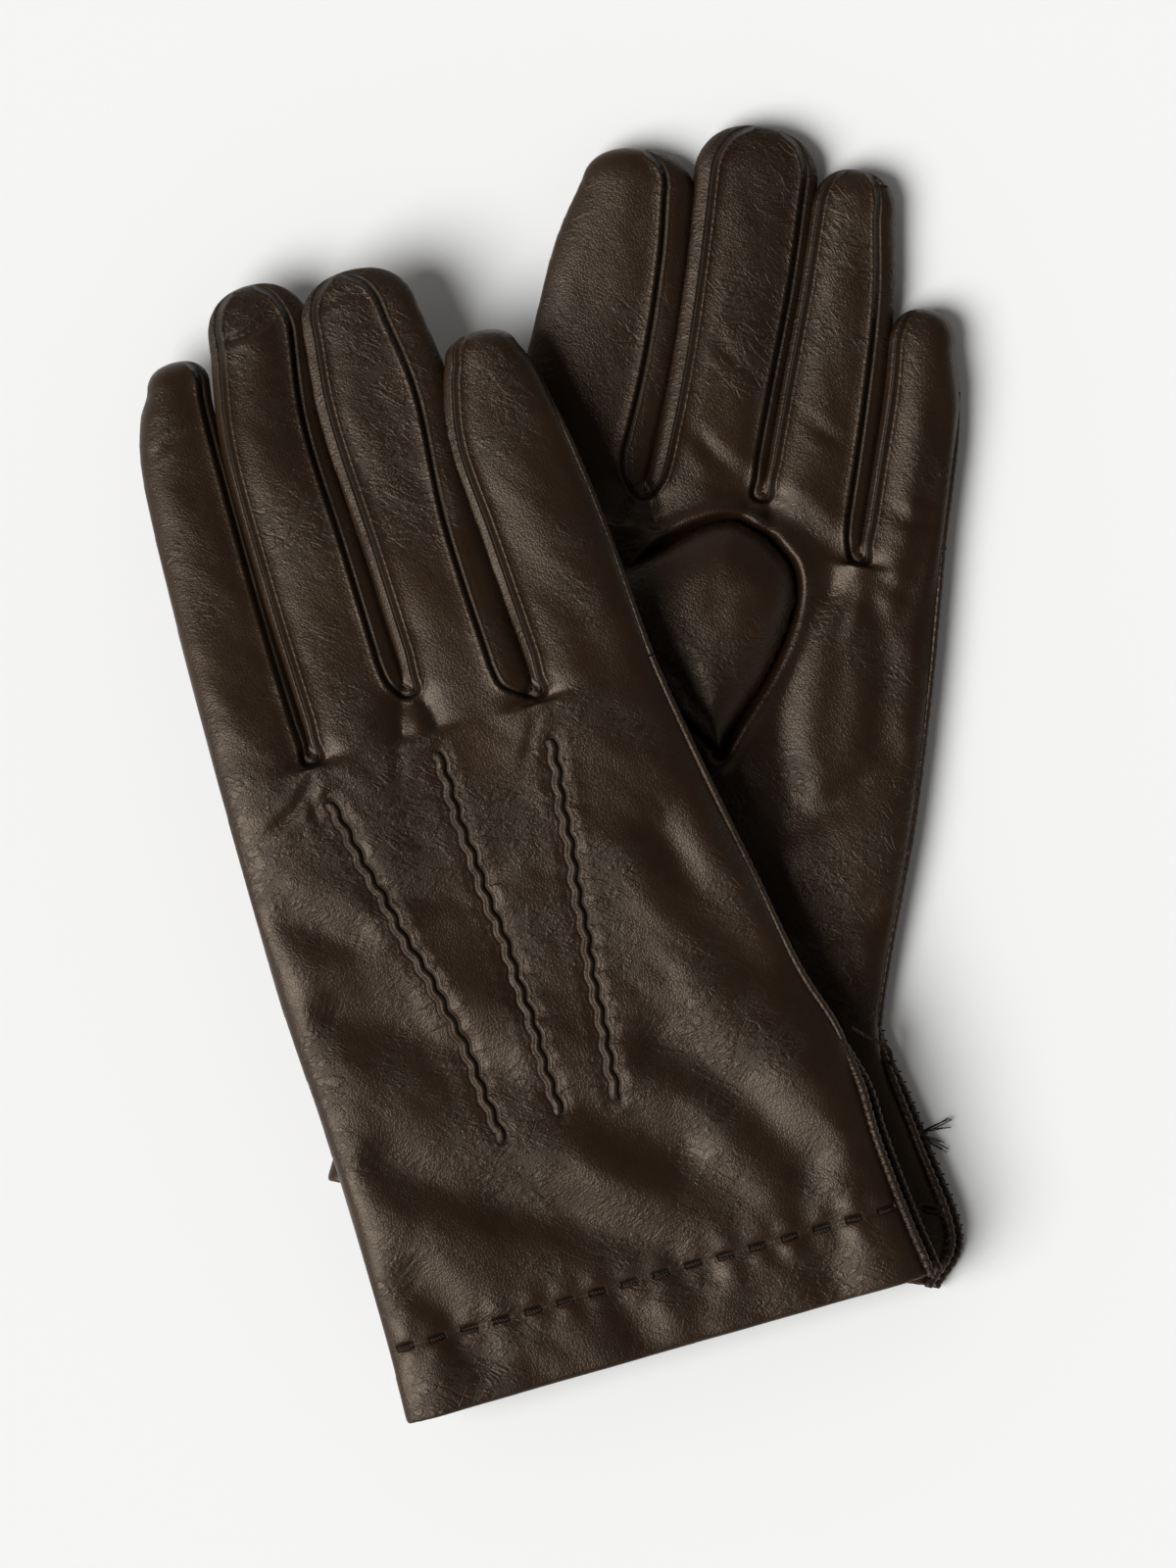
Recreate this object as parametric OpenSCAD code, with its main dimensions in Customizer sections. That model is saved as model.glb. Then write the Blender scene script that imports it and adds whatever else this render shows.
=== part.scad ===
// A pair of lined leather dress gloves, one lying on the other, tacked together
// at the cuffs with a thread. The lower glove is the left one, palm up; the upper
// glove is the right one, back up. Seen from above both have the index finger on
// the left, so one set of modules serves both.
// Frame: +Z up, z = 0 is the surface that the lower glove lies on, and the origin
// is below the middle of the pair's bounding box. Units are millimetres.

/* [Leather and lining] */
// Thickness of the leather
leather_t = 1.2; // [1.0:0.1:1.3]
// Thickness of the knitted lining
lining_t = 0.7; // [0.5:0.1:0.8]
// Height of a hand or finger laid flat
glove_h = 10; // [9.8:0.1:10.2]
// Height of the lower glove's thumb, which lies on its palm
lower_thumb_h = 8.2; // [8.1:0.1:8.3]
// Height of the upper glove's thumb, which lies under its palm
upper_thumb_h = 9; // [8.6:0.1:9.2]

/* [Cuff] */
// Height of the turned-in hem, from the edge to its row of stitches
hem_h = 17; // [14:1:18]
// Length of the vent in the little-finger side of the cuff
vent_len = 59; // [55:1:60]
// Number of running stitches in the hem, on each face
hem_stitches = 16; // [10:1:16]

/* [Points] */
// Width of the ridge of a sewn point on the back of the hand
point_w = 1.5; // [1.2:0.1:1.8]
// Length of one wave of a point
wave_len = 5.4; // [5.0:0.1:6.0]
// How far a point's ridge waves to each side
wave_side = 0.4; // [0.2:0.1:0.5]

/* [Lie of the upper glove] */
// Slope of the upper glove, which rises from its cuff towards its knuckles
upper_slope = 4; // [3.8:0.1:4.2]
// Height of the upper glove's hem above the surface
upper_lift = 11.4; // [11.4:0.1:12]

/* [Hidden] */
FINGERS = ["index", "middle", "ring", "little"];
SIDES = ["left", "right"];
HAND_PARTS = ["back", "palm", "side_seam", "hand_lining", "hem_stitches", "vent_binding",
              "point_index", "point_middle", "point_ring", "thumb", "thumb_lining"];
FINGER_PARTS = ["", "_lining", "_fourchettes"];

leather_colour = "#3a2b22";
lining_colour = "#2c2420";
thread_colour = "#2a1a16";

clear = 0.4;            // gap between pieces that move against each other
cut = 0.5;              // how far a cutting shape runs past the face that it cuts
arc_step = 15;          // angle between the points of a rounded end

// A glove's own frame has its origin at the middle of the hem, x across the
// cuff and y towards the fingers, with z = 0 on its lower face.
lower_at = [17.5, -102.6, 0];
lower_turn = -10;
upper_at = [26.5, -127.6, upper_lift];
upper_turn = 16;

// Side edges of the hands, from the hem to the knuckles
lower_left_edge = [[-69, 0], [-63, 50], [-61, 163]];
lower_right_edge = [[67, 0], [69.5, 11], [56, 36], [46, 59], [45.6, 100], [43.8, 134], [41.5, 163]];
upper_left_edge = [[-61, 0], [-61.5, 75], [-62, 150]];
upper_right_edge = [[61, 0], [59, 30], [55.5, 59], [47.5, 98], [43.5, 122], [40, 150]];

// Fingers: x of the root's middle, x of the tip, width at the root and near the
// tip, y of the tip, and how far the finger points down from the hand, in degrees
lower_fingers = [
    [-44.0, -41.5, 33.0, 28.0, 239.5, 0],
    [-13.7, -15.0, 23.0, 22.0, 249.5, 0],
    [10.5, 8.6, 21.5, 19.5, 243.5, 0],
    [32.3, 30.0, 18.4, 15.5, 216.0, 0]];
upper_fingers = [
    [-51.8, -49.3, 19.6, 16.0, 240.5, 14],
    [-28.8, -25.6, 21.6, 20.5, 253.5, 12.5],
    [-3.6, -2.6, 24.2, 23.0, 250.0, 10],
    [25.0, 21.5, 27.0, 20.0, 229.5, 8.5]];
// The lower index finger bends at its middle joint, clear of the upper glove
index_split = 200;

// Thumbs: the middle of the thumb hole, the way that the thumb points, how far it
// points down from the palm, its length from the hole's middle, its widths, and
// the radius of the hole
lower_thumb = [[-8, 142], 115, 0, 61, 26, 22, 14];
upper_thumb = [[-46.5, 124], 10, 8, 60, 25, 21, 13];

// Sewn points: from the knuckle end to the wrist end
point_runs = [
    [[-39, 138], [-29, 98], [-23, 57]],
    [[-13, 142], [-10.5, 98], [-9.3, 59]],
    [[11.7, 138], [8.2, 98], [4.1, 59]]];
point_rise = 0.9;

stitch = [4, 0.8, 0.4]; // a hem stitch: length, width and height
binding_w = 0.9;        // how far the vent's binding stands out past the edge
welt_w = 0.8;           // how far the side seam stands out past the edge

// Tack thread, from the upper glove's seam round the lower glove's edge to its
// knot, and the knot with a tail on each side
thread_d = 0.8;
knot_d = 2.2;
tack_route = [[67.0, -56.2, 18.5], [70.5, -58.4, 16.0], [75.4, -61.2, 10.5],
              [76.6, -66.0, 6.5], [79.0, -73.0, 5.2], [81.2, -79.0, 3.9]];
knot_route = [[89.2, -78.0, 2.6], [84.6, -79.4, 2.9], [82.2, -80.2, 3.0],
              [81.6, -81.2, 2.9], [84.2, -82.6, 2.2], [88.4, -83.4, 1.4]];

// ---- Functions ----

// A smooth curve through the points p, with n steps to a span
function smooth(p, n = 5) = concat(
    [for (i = [0 : len(p) - 2])
        let (a = p[max(i - 1, 0)], b = p[i], c = p[i + 1], d = p[min(i + 2, len(p) - 1)])
        for (k = [0 : n - 1])
            let (t = k / n)
            (2 * b + (c - a) * t + (2 * a - 5 * b + 4 * c - d) * t * t
             + (3 * b - a - 3 * c + d) * t * t * t) / 2],
    [p[len(p) - 1]]);

function reversed(p) = [for (i = [len(p) - 1 : -1 : 0]) p[i]];

function shifted(p, x) = [for (q = p) [q.x + x, q.y]];

// The part of an edge between two values of y
function between(p, y0, y1) = [for (q = p) if (q.y >= y0 && q.y <= y1) q];

// Half the width of a finger, s along it, with its walls taken in by inset
function half_width(w0, w1, long, s, inset) = (w0 + (w1 - w0) * s / long) / 2 - inset;

// Where a finger's rounded end starts
function tip_start(long, w1) = long - 0.6 * w1;

// Outline of a finger from s = from to its rounded end
function finger_outline(w0, w1, long, inset, from) =
    let (s1 = tip_start(long, w1), r = half_width(w0, w1, long, s1, inset))
    concat(
        [[half_width(w0, w1, long, from, inset), from]],
        [for (a = [0 : arc_step : 180]) [r * cos(a), s1 + (long - inset - s1) * sin(a)]],
        [[-half_width(w0, w1, long, from, inset), from]]);

// A drop outline: a circle with its lower side drawn out to a point
function drop_outline(r) = concat(
    [for (a = [-30 : arc_step : 210]) [r * cos(a), r * sin(a)]],
    [[0, -2 * r]]);

// ---- Shared shapes ----

// A flat layer of an outline between two heights
module layer(outline, z0, z1) {
    translate([0, 0, z0])
        linear_extrude(z1 - z0)
            polygon(outline);
}

// The direction of the path p at its point i
function heading(p, i) =
    let (v = p[min(i + 1, len(p) - 1)] - p[max(i - 1, 0)])
    v / norm(v);

// A round tube along the path p with diameter d[i] at its point i
module tube(p, d, sides = 8) {
    rings = [for (i = [0 : len(p) - 1])
        let (t = heading(p, i), u = cross(t, [0, 0, 1]) / norm(cross(t, [0, 0, 1])), v = cross(t, u))
        for (k = [0 : sides - 1])
            p[i] + d[i] / 2 * (u * cos(360 * k / sides) + v * sin(360 * k / sides))];
    last = (len(p) - 1) * sides;
    walls = [for (i = [0 : len(p) - 2]) for (k = [0 : sides - 1])
        let (a = i * sides + k, b = i * sides + (k + 1) % sides)
        for (face = [[b, a, a + sides], [b, a + sides, b + sides]]) face];
    start = [for (k = [0 : sides - 1]) k];
    end = [for (k = [sides - 1 : -1 : 0]) last + k];
    polyhedron(rings, concat(walls, [start, end]), convexity = 4);
}

// Puts a glove's own frame in its place in the pair
module place(side) {
    if (side == "left")
        translate(lower_at)
            rotate([0, 0, lower_turn])
                children();
    else
        translate(upper_at)
            rotate([0, 0, upper_turn])
                rotate([upper_slope, 0, 0])
                    children();
}

// ---- Hand ----

function hand_edges(side) = side == "left"
    ? [smooth(lower_left_edge), smooth(lower_right_edge)]
    : [smooth(upper_left_edge), smooth(upper_right_edge)];

function hand_outline(side, inset) =
    let (e = hand_edges(side))
    concat(shifted(e[1], -inset), reversed(shifted(e[0], inset)));

function knuckle_y(side) = side == "left" ? lower_left_edge[2].y : upper_left_edge[2].y;

function thumb_of(side) = side == "left" ? lower_thumb : upper_thumb;

function thumb_height(side) = side == "left" ? lower_thumb_h : upper_thumb_h;

// One panel of the hand: its leather, the turned-in hem on its inner side and
// half of the fold at the index-finger side. A panel is drawn lying at z = 0
// with its outer face down.
module panel(side) {
    outline = hand_outline(side, 0);
    fold = hand_edges(side)[0];
    layer(outline, 0, leather_t);
    intersection() {
        layer(hand_outline(side, leather_t), leather_t, leather_t + lining_t);
        translate([-glove_h * 10, 0, 0])
            cube([glove_h * 20, hem_h, glove_h]);
    }
    layer(concat(shifted(fold, leather_t), reversed(fold)), leather_t, glove_h / 2);
}

// Turns a panel over, so that it lies on top of the hand
module as_top() {
    translate([0, 0, glove_h])
        mirror([0, 0, 1])
            children();
}

// The upright wall of the sewn side of the hand with its standing seam
module side_seam_wall(side) {
    edge = between(hand_edges(side)[1], vent_len - 1, knuckle_y(side));
    layer(concat(edge, reversed(shifted(edge, -leather_t))), leather_t, glove_h - leather_t);
    layer(concat(shifted(edge, welt_w), reversed(edge)), glove_h / 2 - welt_w, glove_h / 2 + welt_w);
}

// The bound edges of the vent, one on each panel
module vent_edges(side) {
    edge = between(hand_edges(side)[1], 0, vent_len - 2);
    band = concat(shifted(edge, binding_w), reversed(edge));
    band_h = leather_t + lining_t;
    layer(band, 0, band_h);
    layer(band, glove_h - band_h, glove_h);
}

// The lining of the hand, open at the hem, at the knuckles and over the thumb hole
module hand_lining_tube(side) {
    difference() {
        intersection() {
            layer(hand_outline(side, leather_t), leather_t, glove_h - leather_t);
            translate([-glove_h * 10, hem_h, 0])
                cube([glove_h * 20, knuckle_y(side) - hem_h, glove_h]);
        }
        layer(hand_outline(side, leather_t + lining_t), leather_t + lining_t,
              glove_h - leather_t - lining_t);
        translate([0, 0, side == "left" ? glove_h / 2 : -cut])
            thumb_hole(side);
    }
}

// The drop-shaped hole in the palm that the thumb is sewn into
module thumb_hole(side) {
    t = thumb_of(side);
    translate([t[0].x, t[0].y, 0])
        layer(drop_outline(t[6]), 0, glove_h / 2 + cut);
}

// The wavy ridge of one sewn point, widened by grow
module point_ridge(run, z0, z1, grow) {
    path = smooth(run, 30);
    travel = norm(run[2] - run[0]) / (len(path) - 1);
    wave = [for (i = [0 : len(path) - 1]) wave_side * sin(360 * i * travel / wave_len)];
    half = point_w / 2 + grow;
    layer(concat([for (i = [0 : len(path) - 1]) path[i] + [wave[i] + half, 0]],
                 reversed([for (i = [0 : len(path) - 1]) path[i] + [wave[i] - half, 0]])), z0, z1);
}

// The hem's running stitches on one face, from z0 up, widened by grow
module stitch_row(side, z0, grow) {
    e = hand_edges(side);
    width = e[1][0].x - e[0][0].x - 2 * stitch.x;
    for (i = [0 : hem_stitches - 1])
        translate([e[0][0].x + stitch.x + width * i / (hem_stitches - 1) - stitch.x / 2 - grow,
                   hem_h - 1 - grow, z0])
            cube([stitch.x + 2 * grow, stitch.y + 2 * grow, stitch.z + grow]);
}

module back(side) {
    color(leather_colour)
    if (side == "right")
        as_top()
            panel(side);
    else
        difference() {
            panel(side);
            for (run = point_runs)
                translate([0, 0, -cut])
                    point_ridge(run, 0, point_rise + cut + 0.1, 0.1);
            translate([0, 0, -0.1])
                stitch_row(side, 0, 0.1);
        }
}

module palm(side) {
    color(leather_colour)
    difference() {
        if (side == "left")
            as_top()
                panel(side);
        else
            difference() {
                panel(side);
                translate([0, 0, -0.1])
                    stitch_row(side, 0, 0.1);
            }
        translate([0, 0, side == "left" ? glove_h / 2 : -cut])
            thumb_hole(side);
    }
}

module side_seam(side) {
    color(leather_colour)
    side_seam_wall(side);
}

module hand_lining(side) {
    color(lining_colour)
    hand_lining_tube(side);
}

module stitches(side) {
    color(thread_colour) {
        stitch_row(side, 0, 0);
        stitch_row(side, glove_h, 0);
    }
}

module vent_binding(side) {
    color(leather_colour)
    vent_edges(side);
}

module point(side, i) {
    color(leather_colour)
    if (side == "right")
        point_ridge(point_runs[i], glove_h, glove_h + point_rise, 0);
    else
        point_ridge(point_runs[i], 0, point_rise, 0);
}

// ---- Thumb ----

// Puts a thumb on the outer side of its palm, pointing along its own y. The
// lower glove's palm is its top, so that thumb lies on it.
module place_thumb(side) {
    t = thumb_of(side);
    tall = thumb_height(side);
    lift = side == "left" ? glove_h + clear : -clear - tall;
    near = -t[6];
    translate([t[0].x, t[0].y, lift])
        rotate([0, 0, side == "left" ? t[1] : -t[1]])
            translate([0, near, tall])
                rotate([-t[2], 0, 0])
                    translate([0, -near, -tall])
                        children();
}

// The solid outline of a thumb with its walls taken in by inset
module thumb_body(side, inset) {
    t = thumb_of(side);
    z1 = thumb_height(side) - inset;
    union() {
        translate([0, 0, inset])
            cylinder(h = z1 - inset, r = t[6] + leather_t - inset, $fn = 48);
        layer(finger_outline(t[4], t[5], t[3], inset, 0), inset, z1);
    }
}

// The way from a thumb's hollow into the palm
module thumb_mouth(side) {
    r = thumb_of(side)[6] - leather_t - lining_t;
    tall = thumb_height(side);
    translate([0, 0, side == "left" ? -cut : tall / 2])
        cylinder(h = tall / 2 + cut, r = r, $fn = 48);
}

module thumb(side) {
    color(leather_colour)
    place_thumb(side)
        difference() {
            thumb_body(side, 0);
            thumb_body(side, leather_t);
            thumb_mouth(side);
        }
}

module thumb_lining(side) {
    color(lining_colour)
    place_thumb(side)
        difference() {
            thumb_body(side, leather_t);
            thumb_body(side, leather_t + lining_t);
            thumb_mouth(side);
        }
}

// ---- Fingers ----

function fingers_of(side) = side == "left" ? lower_fingers : upper_fingers;

function finger_len(side, i) =
    let (f = fingers_of(side)[i])
    norm([f[1] - f[0], f[4] - knuckle_y(side)]);

// How far a finger leans to the right of straight along the hand, in degrees
function lean(side, i) =
    let (f = fingers_of(side)[i])
    atan2(f[1] - f[0], f[4] - knuckle_y(side));

// Where a finger's leather starts: it leaves the hand by the gap that its
// downward slope and its lean need
function root_gap(side, i) =
    let (f = fingers_of(side)[i])
    clear + glove_h * sin(f[5]) + f[2] / 2 * sin(abs(lean(side, i)));

// Puts a finger's own frame at its knuckle, y along the finger, hinged at the top
module place_finger(side, i) {
    f = fingers_of(side)[i];
    translate([f[0], knuckle_y(side), glove_h])
        rotate([0, 0, -lean(side, i)])
            rotate([-f[5], 0, 0])
                translate([0, 0, -glove_h])
                    children();
}

// A layer of a finger's outline, its walls taken in by inset, from s = from on
module finger_layer(side, i, inset, from, z0, z1) {
    f = fingers_of(side)[i];
    layer(finger_outline(f[2], f[3], finger_len(side, i), inset, from), z0, z1);
}

// The strip of leather in the side wall of a finger. edge is 1 for the right
// side and -1 for the left; grow widens it for cutting its place.
module strip(side, i, edge, from, to, grow) {
    f = fingers_of(side)[i];
    long = finger_len(side, i);
    a = half_width(f[2], f[3], long, from, 0);
    b = half_width(f[2], f[3], long, to, 0);
    inner = leather_t + grow;
    layer([[edge * (a + grow), from], [edge * (b + grow), to],
           [edge * (b - inner), to], [edge * (a - inner), from]],
          leather_t, glove_h - leather_t);
}

// The sides of a finger that have a strip: the index finger's outer side is the
// folded leather, and the little finger's outer side is the side seam
function strip_edges(i) = i == 0 ? [1] : i == 3 ? [-1] : [-1, 1];

function strip_end(side, i) = tip_start(finger_len(side, i), fingers_of(side)[i][3]);

module finger_shell(side, i, from) {
    color(leather_colour)
    place_finger(side, i)
        difference() {
            finger_layer(side, i, 0, from, 0, glove_h);
            finger_layer(side, i, leather_t, from - cut, leather_t, glove_h - leather_t);
            for (edge = strip_edges(i))
                strip(side, i, edge, from - cut, strip_end(side, i), cut);
        }
}

module finger_lining(side, i, from) {
    color(lining_colour)
    place_finger(side, i)
        difference() {
            finger_layer(side, i, leather_t, from, leather_t, glove_h - leather_t);
            finger_layer(side, i, leather_t + lining_t, from - cut, leather_t + lining_t,
                         glove_h - leather_t - lining_t);
        }
}

module finger_strips(side, i, from, to) {
    color(leather_colour)
    place_finger(side, i)
        for (edge = strip_edges(i))
            strip(side, i, edge, from, to, 0);
}

// The first part of the lower index finger, which stays with the hand
module up_to_split() {
    intersection() {
        children();
        place("left")
            translate([-100, 0, -cut])
                cube([200, index_split - clear, glove_h + 2 * cut]);
    }
}

// The rest of it, from the split on
module past_split() {
    intersection() {
        children();
        place("left")
            translate([-100, index_split, -cut])
                cube([200, 100, glove_h + 2 * cut]);
    }
}

// One part of one finger, in its place in the pair
module finger_part(side, i, part) {
    from = root_gap(side, i);
    place(side) {
        if (part == "")
            finger_shell(side, i, from);
        if (part == "_lining")
            finger_lining(side, i, from);
        if (part == "_fourchettes")
            finger_strips(side, i, from, strip_end(side, i));
    }
}

// ---- Tack ----

module tack_thread() {
    color(thread_colour)
    tube(smooth(tack_route, 3), [for (i = [0 : 3 * (len(tack_route) - 1)]) thread_d]);
}

module tack_knot() {
    color(thread_colour)
    tube(knot_route, [thread_d, thread_d, knot_d, knot_d, thread_d, thread_d]);
}

// ---- Nodes ----

for (side = SIDES) {
    place(side) back(side);
    place(side) palm(side);
    place(side) side_seam(side);
    place(side) hand_lining(side);
    place(side) stitches(side);
    place(side) vent_binding(side);
    place(side) point(side, 0);
    place(side) point(side, 1);
    place(side) point(side, 2);
    place(side) thumb(side);
    place(side) thumb_lining(side);
    for (i = [side == "left" ? 1 : 0 : 3])
        for (part = FINGER_PARTS)
            finger_part(side, i, part);
}
for (part = FINGER_PARTS) {
    up_to_split() finger_part("left", 0, part);
    past_split() finger_part("left", 0, part);
}
tack_thread();
tack_knot();
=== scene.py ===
"""A pair of leather dress gloves, one lying on the other, for a studio picture.

Each glove is modelled in its own frame, in millimetres: the origin is the
middle of its hem, x runs across the cuff, y towards the fingers, and z = 0 is
its lower face. The numbers are those of the CAD model. lay() takes a glove's
frame to the row frame, in metres.
"""

import math

import bpy
import numpy as np
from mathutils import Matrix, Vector
from mathutils.bvhtree import BVHTree
from mathutils.kdtree import KDTree


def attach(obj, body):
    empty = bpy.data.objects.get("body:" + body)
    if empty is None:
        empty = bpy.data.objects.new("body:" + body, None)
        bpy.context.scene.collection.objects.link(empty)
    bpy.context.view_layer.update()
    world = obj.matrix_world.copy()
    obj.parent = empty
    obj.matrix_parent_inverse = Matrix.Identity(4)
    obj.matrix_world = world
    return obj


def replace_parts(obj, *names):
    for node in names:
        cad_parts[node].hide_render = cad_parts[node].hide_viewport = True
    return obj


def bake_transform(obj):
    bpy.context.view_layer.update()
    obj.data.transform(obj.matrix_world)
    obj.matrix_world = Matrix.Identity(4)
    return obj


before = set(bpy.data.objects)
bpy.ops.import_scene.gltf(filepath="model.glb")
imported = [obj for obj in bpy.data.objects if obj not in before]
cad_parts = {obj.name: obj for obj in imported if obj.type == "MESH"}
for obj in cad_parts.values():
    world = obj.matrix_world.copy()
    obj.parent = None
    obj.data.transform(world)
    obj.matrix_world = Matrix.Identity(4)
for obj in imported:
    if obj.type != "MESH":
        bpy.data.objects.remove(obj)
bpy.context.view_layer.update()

MM = 0.001
GLOVE_H = 10.0
MID = GLOVE_H / 2
WALL = 1.9            # leather and lining together
LINING_IN = 2.3       # how far a finger's lining is shown inside its leather
VOXEL = 0.75
HEM_H = 17.0
VENT = 59.0
LEAF_OUT = 1.8         # how far the vent's lower edge stands out past its upper one

# ---------------------------------------------------------------- curves


def through(points, step=1.0):
    """A smooth curve through points, with one point about every step."""
    p = np.array(points, float)
    q = np.vstack([2 * p[0] - p[1], p, 2 * p[-1] - p[-2]])
    out = []
    for a, b, c, d in zip(q[:-3], q[1:-2], q[2:-1], q[3:]):
        n = max(2, int(np.linalg.norm(c - b) / step))
        t = np.linspace(0, 1, n, endpoint=False)[:, None]
        out.append((2 * b + (c - a) * t + (2 * a - 5 * b + 4 * c - d) * t ** 2
                    + (3 * b - a - 3 * c + d) * t ** 3) / 2)
    return np.vstack(out + [p[-1:]])


def edge(points):
    """x as a function of y along a smooth edge through points."""
    c = through(points)
    order = np.argsort(c[:, 1])
    ys, xs = c[order, 1], c[order, 0]
    return lambda y: np.interp(y, ys, xs)


def ease(t):
    """0 below 0, 1 above 1, smooth between."""
    t = np.clip(t, 0, 1)
    return t * t * (3 - 2 * t)


def noise(x, y, size, seed):
    """Smooth random field of x and y, from -1 to 1, with cells of size."""
    rng = np.random.default_rng(seed)
    grid = rng.uniform(-1, 1, (64, 64))
    u, v = x / size + 17.3, y / size + 9.1
    i, j = np.floor(u).astype(int), np.floor(v).astype(int)
    a, b = ease(u - i), ease(v - j)
    low = grid[i % 64, j % 64] * (1 - a) + grid[(i + 1) % 64, j % 64] * a
    high = grid[i % 64, (j + 1) % 64] * (1 - a) + grid[(i + 1) % 64, (j + 1) % 64] * a
    return low * (1 - b) + high * b


def streaks(x, y, turn, stretch, size, seed):
    """The random field drawn out by stretch along the direction turn, in degrees."""
    a = math.radians(turn)
    along = x * math.cos(a) + y * math.sin(a)
    across = y * math.cos(a) - x * math.sin(a)
    return noise(along / stretch, across, size, seed)


# ---------------------------------------------------------------- the gloves

# Fingers: places (y, left x, right x) along the finger, the y of its tip, how
# far its top seams stand in from its left and right sides (None where that side
# has no strip), and how far it points down, in degrees
LOWER = dict(
    side="left", at=(17.5, -102.6, 0), turn=-10, slope=0, knuckle=163,
    left=[(-69, 0), (-63, 50), (-61, 163), (-60, 180)],
    right=[(68.4, 0), (71.5, 12), (60, 32), (48.5, 52), (46.8, 69), (47, 100),
           (45.3, 134), (42.8, 164), (42, 180)],
    crotches=[(-26, 163), (0.4, 167), (24.5, 157)],
    fingers=[
        dict(sides=[(163, -60, -26.3), (190, -57, -24.4), (215, -55.2, -24.8), (231, -51.5, -26.4)],
             tip=239.8, seams=(None, 5.8), pitch=0),
        dict(sides=[(163, -25.5, 0.4), (190, -24.6, 0.6), (215, -25.2, 1.0), (238, -26.5, 0.2)],
             tip=249.5, seams=(3.6, 2.0), pitch=0),
        dict(sides=[(163, 0.8, 24.2), (190, 0.8, 23.4), (215, 1.0, 21.8), (234, 0.6, 18.6)],
             tip=243.7, seams=(1.4, 3.2), pitch=0),
        dict(sides=[(157, 24.7, 43.2), (180, 24.2, 42), (196, 23.8, 40.8), (207, 22.8, 37.6)],
             tip=215.5, seams=(1.4, None), pitch=0)])
UPPER = dict(
    side="right", at=(26.5, -127.6, 11.4), turn=16, slope=4, knuckle=150,
    left=[(-61.3, 0), (-60.6, 17), (-60.5, 43), (-61, 70), (-62.4, 100), (-62.2, 150), (-62, 165)],
    right=[(61, 0), (59.2, 14), (57.6, 32), (57.4, 47), (55.6, 60), (51.3, 74), (47.4, 97),
           (43.2, 121), (40.4, 138.5), (38.8, 150), (37.8, 165)],
    crotches=[(-40.3, 148), (-15.6, 156.4), (11.6, 148.5)],
    fingers=[
        dict(sides=[(150, -62.2, -40.6), (182, -61.6, -41.2), (217, -60, -41), (231, -56.8, -40.6), (236, -53.6, -39.8)],
             tip=241.4, seams=(None, 1.2), pitch=14),
        dict(sides=[(150, -40.0, -15.9), (190, -41, -16.6), (220, -40.6, -17.4), (242, -36.8, -14.4)],
             tip=253.4, seams=(1.6, 3.8), pitch=12.5),
        dict(sides=[(150, -15.3, 11.3), (190, -16.4, 9.8), (220, -17.6, 11.6), (240, -15.8, 9.4)],
             tip=250.6, seams=(2.2, 7.0), pitch=10),
        dict(sides=[(150, 11.9, 38.8), (185, 10, 36.4), (206, 8.6, 33.8), (220, 11, 31.4), (224.5, 12.8, 29.2)],
             tip=229.8, seams=(1.8, None), pitch=8.5)])
NAMES = ["index", "middle", "ring", "little"]
SQUEEZE = 1.5          # the fingers are first made this much narrower on each sewn side
PRESS = 0.7            # how far neighbouring fingers press into each other on each side
INDEX_SPLIT = 200.0

for g in (LOWER, UPPER):
    g["left_x"], g["right_x"] = edge(g["left"]), edge(g["right"])
    for n, f in enumerate(g["fingers"]):
        rows = f["sides"]
        f["xl"] = edge([(r[1], r[0]) for r in rows])
        f["xr"] = edge([(r[2], r[0]) for r in rows])
        f["squeeze"] = (0 if n == 0 else SQUEEZE, 0 if n == 3 else SQUEEZE)
        f["root"] = rows[0][0]
        f["tip_from"] = rows[-1][0]


def lay(g, p):
    """Points of a glove's own frame in the row frame, in metres."""
    p = np.array(p, float).copy()
    s, c = math.sin(math.radians(g["slope"])), math.cos(math.radians(g["slope"]))
    y, z = p[:, 1] * c - p[:, 2] * s, p[:, 1] * s + p[:, 2] * c
    s, c = math.sin(math.radians(g["turn"])), math.cos(math.radians(g["turn"]))
    out = np.stack([p[:, 0] * c - y * s, p[:, 0] * s + y * c, z], 1)
    return (out + np.array(g["at"])) * MM


def finger_of(g, x, y):
    """Which finger each point belongs to, by the gaps between the fingers."""
    n = np.zeros(len(x), int)
    for i in range(3):
        a, b = g["fingers"][i], g["fingers"][i + 1]
        gap = (a["xr"](y) + b["xl"](y)) / 2
        n += (x > gap).astype(int)
    return n


def droop(g, p, finger):
    """Lowers the fingers, which slope down from the knuckles. finger is the number of
    each point's finger, or of the finger that they all belong to."""
    p = p.copy()
    drop = np.tan(np.radians([f["pitch"] for f in g["fingers"]]))[finger]
    along = p[:, 1] - g["knuckle"]
    run = np.where(along < 14, np.clip(along + 8, 0, 22) ** 2 / 44, along - 3)
    p[:, 2] -= drop * run
    return p


# ---------------------------------------------------------------- solids


def section(xl, xr, mid, half, radius, y, power=2.2, corner=14, flat=24):
    """A closed cross-section: flat in the middle, rounded over radius at each side."""
    r = min(radius, (xr - xl) / 2)
    t = np.linspace(0, math.pi / 2, corner)
    inward = r * (1 - np.cos(t) ** (2 / power))
    rise = half * np.sin(t) ** (2 / power)
    middle = np.linspace(xr - r, xl + r, flat + 2)[1:-1]
    top_x = np.concatenate([xr - inward, middle, (xl + inward)[::-1]])
    top_z = np.concatenate([rise, np.full(flat, half), rise[::-1]])
    x = np.concatenate([top_x, top_x[::-1][1:-1]])
    z = np.concatenate([mid + top_z, (mid - top_z)[::-1][1:-1]])
    return np.stack([x, np.full(len(x), y), z], 1)


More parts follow.
